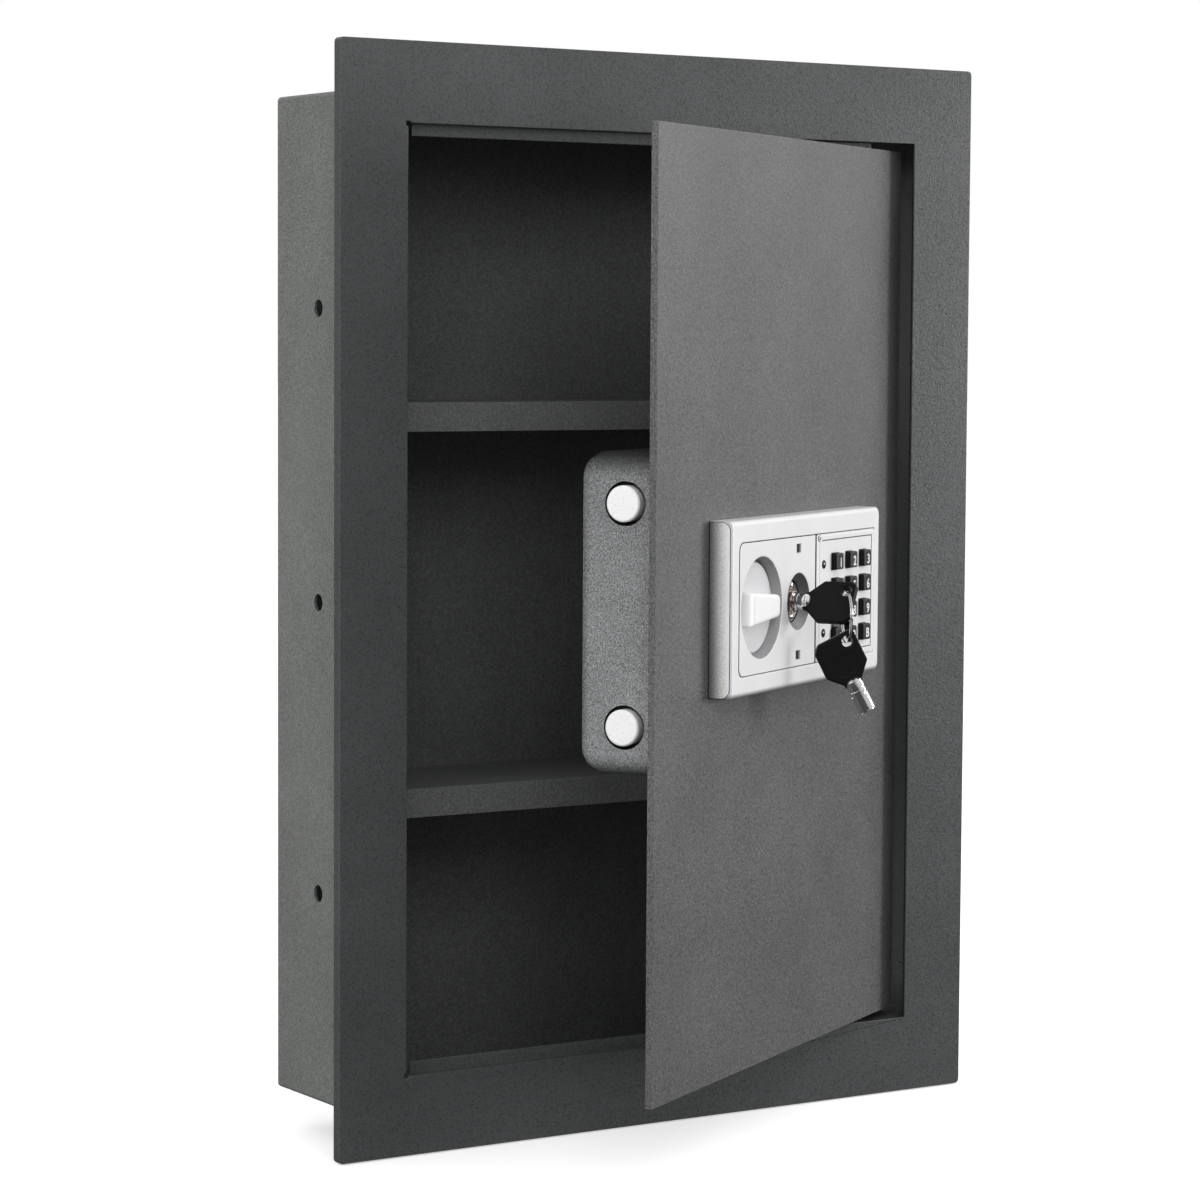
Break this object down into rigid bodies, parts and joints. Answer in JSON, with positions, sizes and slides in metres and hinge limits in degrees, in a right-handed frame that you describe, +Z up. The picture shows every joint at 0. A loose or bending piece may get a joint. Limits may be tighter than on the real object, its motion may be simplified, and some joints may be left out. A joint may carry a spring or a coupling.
{
  "type": "recessed wall safe",
  "caption": "Slim sheet-steel safe recessed between wall studs, with trim flange, hinged door, live bolts worked by a knob, keypad panel, key override and folded shelves.",
  "frame": {"origin": "centre of the outer face of the back panel", "axes": "+Z up, +Y out of the back of the safe into the wall cavity, -Y towards the room, +X to the hinge side seen from the room"},
  "size_m": [0.3874, 0.2386, 0.5524],
  "materials": {
    "cabinet_paint": "fine textured powder coat, charcoal grey",
    "door_paint": "fine textured powder coat, mid grey",
    "zinc": "zinc plated",
    "bronze": "plain",
    "chrome": "polished",
    "silver_plastic": "silver painted, satin",
    "black_plastic": "black, semi gloss",
    "cell_wrap": "shrink film",
    "board": "solder mask",
    "lens_green": "clear tint",
    "lens_red": "clear tint"
  },
  "bodies": {
    "cabinet": {"body_wrap": "cabinet_paint", "back_panel": "cabinet_paint", "front_frame": "cabinet_paint", "shelf_upper": "cabinet_paint", "shelf_lower": "cabinet_paint", "hinge_bracket_top": "cabinet_paint", "hinge_bracket_bottom": "cabinet_paint"},
    "door": {"door_panel": "door_paint", "hinge_lug_top": "door_paint", "hinge_lug_bottom": "door_paint", "hinge_pin_top": "zinc", "hinge_pin_bottom": "zinc", "hinge_bush_top": "bronze", "hinge_bush_bottom": "bronze", "lock_housing": "door_paint", "bolt_guide_upper": "zinc", "bolt_guide_lower": "zinc", "solenoid_body": "zinc", "battery_box": "black_plastic", "battery_1": "cell_wrap", "battery_2": "cell_wrap", "battery_3": "cell_wrap", "battery_4": "cell_wrap", "bezel": "silver_plastic", "knob_plate": "silver_plastic", "lock_plate": "silver_plastic", "keypad_plate": "silver_plastic", "circuit_board": "board", "led_upper": "lens_green", "led_lower": "lens_red", "lock_barrel": "zinc", "barrel_screw_upper": "zinc", "barrel_screw_lower": "zinc"},
    "knob_assembly": {"knob": "silver_plastic", "knob_spindle": "zinc", "drive_cam": "zinc"},
    "bolt_work": {"bolt_carriage": "zinc", "bolt_upper": "chrome", "bolt_lower": "chrome"},
    "plunger": {"solenoid_plunger": "zinc", "plunger_spring": "zinc"},
    "battery_lid": {"battery_cover": "door_paint"},
    "key_one": {"lock_plug": "zinc", "key_barrel_1": "chrome", "key_bow_1": "black_plastic"},
    "ring": {"key_ring": "zinc"},
    "key_two": {"key_barrel_2": "chrome", "key_bow_2": "black_plastic"},
    "button_1": {"button_1": "black_plastic"},
    "button_2": {"button_2": "black_plastic"},
    "button_3": {"button_3": "black_plastic"},
    "button_4": {"button_4": "black_plastic"},
    "button_5": {"button_5": "black_plastic"},
    "button_6": {"button_6": "black_plastic"},
    "button_7": {"button_7": "black_plastic"},
    "button_8": {"button_8": "black_plastic"},
    "button_9": {"button_9": "black_plastic"},
    "button_a": {"button_a": "black_plastic"},
    "button_0": {"button_0": "black_plastic"},
    "button_b": {"button_b": "black_plastic"}
  },
  "joints": [
    {"name": "door_swing", "type": "hinge", "parent": "cabinet", "child": "door", "pos_m": [0.13107, -0.07775, 0], "axis": [0, 0, 1], "range_deg": [-31.2, 68.8]},
    {"name": "knob_turn", "type": "hinge", "parent": "door", "child": "knob_assembly", "pos_m": [-0.02071, -0.19013, 0.00017], "axis": [0.518, -0.8554, 0], "range_deg": [0, 72]},
    {"name": "bolts_slide", "type": "slide", "parent": "door", "child": "bolt_work", "axis": [-0.8554, -0.518, 0], "range_m": [0, 0.0141]},
    {"name": "plunger_slide", "type": "slide", "parent": "door", "child": "plunger", "axis": [0, 0, 1], "range_m": [0, 0.005], "deforming": ["plunger_spring"]},
    {"name": "battery_cover_lift", "type": "slide", "parent": "door", "child": "battery_lid", "axis": [-0.518, 0.8554, 0], "range_m": [0, 0.015]},
    {"name": "key_turn", "type": "hinge", "parent": "door", "child": "key_one", "pos_m": [0.01855, -0.16636, 0.00038], "axis": [0.518, -0.8554, 0], "range_deg": [-58, 32]},
    {"name": "ring_swing", "type": "hinge", "parent": "key_one", "child": "ring", "pos_m": [0.03985, -0.19519, 0.00563], "axis": [0.7254, 0.4393, -0.5299], "range_deg": [-12, 12]},
    {"name": "key_two_swing", "type": "hinge", "parent": "ring", "child": "key_two", "pos_m": [0.03985, -0.19519, -0.01877], "axis": [0.4374, 0.8993, 0], "range_deg": [-15, 15]},
    {"name": "press_1", "type": "slide", "parent": "door", "child": "button_1", "axis": [-0.518, 0.8554, 0], "range_m": [0, 0.001], "stiffness_N_per_m": 400},
    {"name": "press_2", "type": "slide", "parent": "door", "child": "button_2", "axis": [-0.518, 0.8554, 0], "range_m": [0, 0.001], "stiffness_N_per_m": 400},
    {"name": "press_3", "type": "slide", "parent": "door", "child": "button_3", "axis": [-0.518, 0.8554, 0], "range_m": [0, 0.001], "stiffness_N_per_m": 400},
    {"name": "press_4", "type": "slide", "parent": "door", "child": "button_4", "axis": [-0.518, 0.8554, 0], "range_m": [0, 0.001], "stiffness_N_per_m": 400},
    {"name": "press_5", "type": "slide", "parent": "door", "child": "button_5", "axis": [-0.518, 0.8554, 0], "range_m": [0, 0.001], "stiffness_N_per_m": 400},
    {"name": "press_6", "type": "slide", "parent": "door", "child": "button_6", "axis": [-0.518, 0.8554, 0], "range_m": [0, 0.001], "stiffness_N_per_m": 400},
    {"name": "press_7", "type": "slide", "parent": "door", "child": "button_7", "axis": [-0.518, 0.8554, 0], "range_m": [0, 0.001], "stiffness_N_per_m": 400},
    {"name": "press_8", "type": "slide", "parent": "door", "child": "button_8", "axis": [-0.518, 0.8554, 0], "range_m": [0, 0.001], "stiffness_N_per_m": 400},
    {"name": "press_9", "type": "slide", "parent": "door", "child": "button_9", "axis": [-0.518, 0.8554, 0], "range_m": [0, 0.001], "stiffness_N_per_m": 400},
    {"name": "press_a", "type": "slide", "parent": "door", "child": "button_a", "axis": [-0.518, 0.8554, 0], "range_m": [0, 0.001], "stiffness_N_per_m": 400},
    {"name": "press_0", "type": "slide", "parent": "door", "child": "button_0", "axis": [-0.518, 0.8554, 0], "range_m": [0, 0.001], "stiffness_N_per_m": 400},
    {"name": "press_b", "type": "slide", "parent": "door", "child": "button_b", "axis": [-0.518, 0.8554, 0], "range_m": [0, 0.001], "stiffness_N_per_m": 400}
  ],
  "couplings": [
    {"joint": "knob_turn", "follows": "bolts_slide", "rad_per_m": 89.12}
  ]
}
